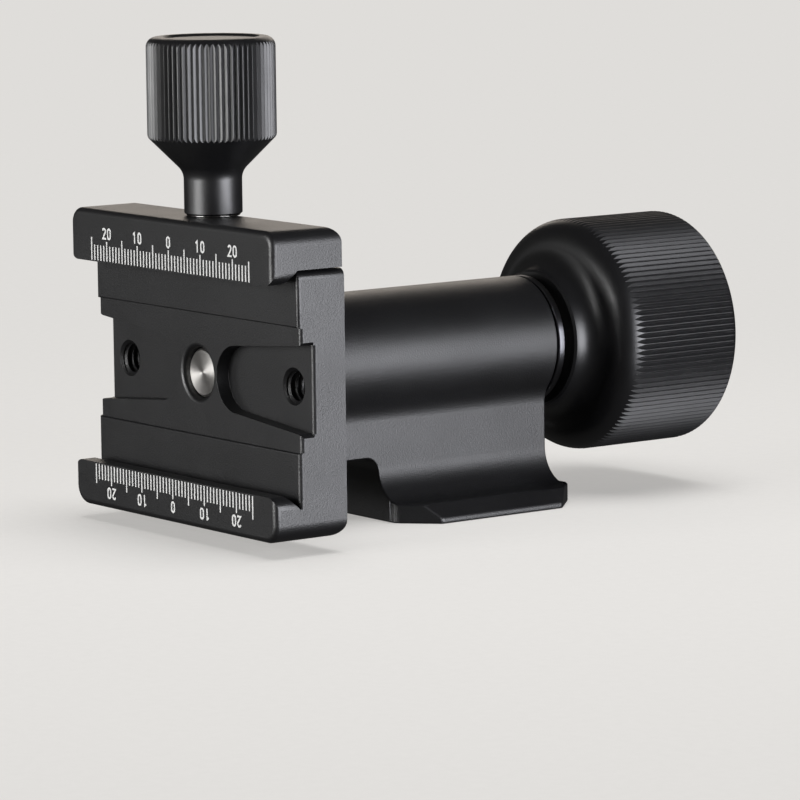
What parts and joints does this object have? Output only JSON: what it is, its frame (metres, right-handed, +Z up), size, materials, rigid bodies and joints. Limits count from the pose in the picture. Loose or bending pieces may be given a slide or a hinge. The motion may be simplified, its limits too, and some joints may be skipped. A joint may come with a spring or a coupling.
{
  "type": "monopod gimbal head",
  "caption": "Tilt head for a monopod: dovetail foot, horizontal shaft with a lens clamp at its front, and a large knob that locks the tilt.",
  "frame": {"origin": "middle of the head's length and width, level with the foot's bottom face; the foot's socket is 3.6 mm behind it along +Y", "axes": "+Z up, away from the monopod; +Y along the tilt shaft from the clamp to the large knob; +X along the clamp's jaws"},
  "size_m": [0.064, 0.1154, 0.089],
  "materials": {
    "black_anodised_aluminium": "fine bead-blasted, satin black anodised",
    "stainless_steel": "turned stainless steel",
    "black_oxide_steel": "ground and black-oxided steel",
    "spring_steel": "drawn spring wire",
    "sintered_bronze": "sintered bearing bronze",
    "dark_acetal": "dark low-friction plastic"
  },
  "bodies": {
    "base": {"housing": "black_anodised_aluminium", "foot_thread_insert": "stainless_steel", "front_bush": "sintered_bronze", "rear_bush": "sintered_bronze", "front_thrust_washer": "dark_acetal"},
    "clamp": {"clamp_body": "black_anodised_aluminium", "tilt_shaft": "stainless_steel", "drive_pin_left": "stainless_steel", "drive_pin_right": "stainless_steel", "jaw_spring_left": "spring_steel", "jaw_spring_right": "spring_steel", "knob_stop_washer": "stainless_steel", "knob_stop_screw": "black_oxide_steel"},
    "jaw": {"moving_jaw": "black_anodised_aluminium", "guide_pin_left": "stainless_steel", "guide_pin_right": "stainless_steel"},
    "small_knob": {"clamp_knob": "black_anodised_aluminium", "clamp_screw": "stainless_steel", "clamp_knob_washer": "stainless_steel"},
    "thrust_rings": {"rear_thrust_washer": "black_oxide_steel", "friction_washer": "dark_acetal"},
    "large_knob": {"tilt_knob": "black_anodised_aluminium", "knob_thread_insert": "stainless_steel", "knob_end_cap": "black_anodised_aluminium"}
  },
  "joints": [
    {"name": "clamp_tilt", "type": "hinge", "parent": "base", "child": "clamp", "pos_m": [0, -0.04083, 0.0292], "axis": [0, 1, 0], "continuous": true},
    {"name": "jaw_slide", "type": "slide", "parent": "clamp", "child": "jaw", "axis": [0, 0, 1], "range_m": [0, 0.006], "deforming": ["jaw_spring_left", "jaw_spring_right"]},
    {"name": "clamp_knob_turn", "type": "hinge", "parent": "jaw", "child": "small_knob", "pos_m": [0, -0.04623, 0.0582], "axis": [0, 0, 1], "range_deg": [0, 2161]},
    {"name": "thrust_slide", "type": "slide", "parent": "clamp", "child": "thrust_rings", "axis": [0, 1, 0], "range_m": [0, 0.0009375]},
    {"name": "tilt_knob_turn", "type": "hinge", "parent": "thrust_rings", "child": "large_knob", "pos_m": [0, 0.02573, 0.0292], "axis": [0, 1, 0], "range_deg": [0, 270.2]}
  ],
  "couplings": [
    {"joint": "clamp_knob_turn", "follows": "jaw_slide", "rad_per_m": 6283.2},
    {"joint": "tilt_knob_turn", "follows": "thrust_slide", "rad_per_m": 5026.5}
  ]
}
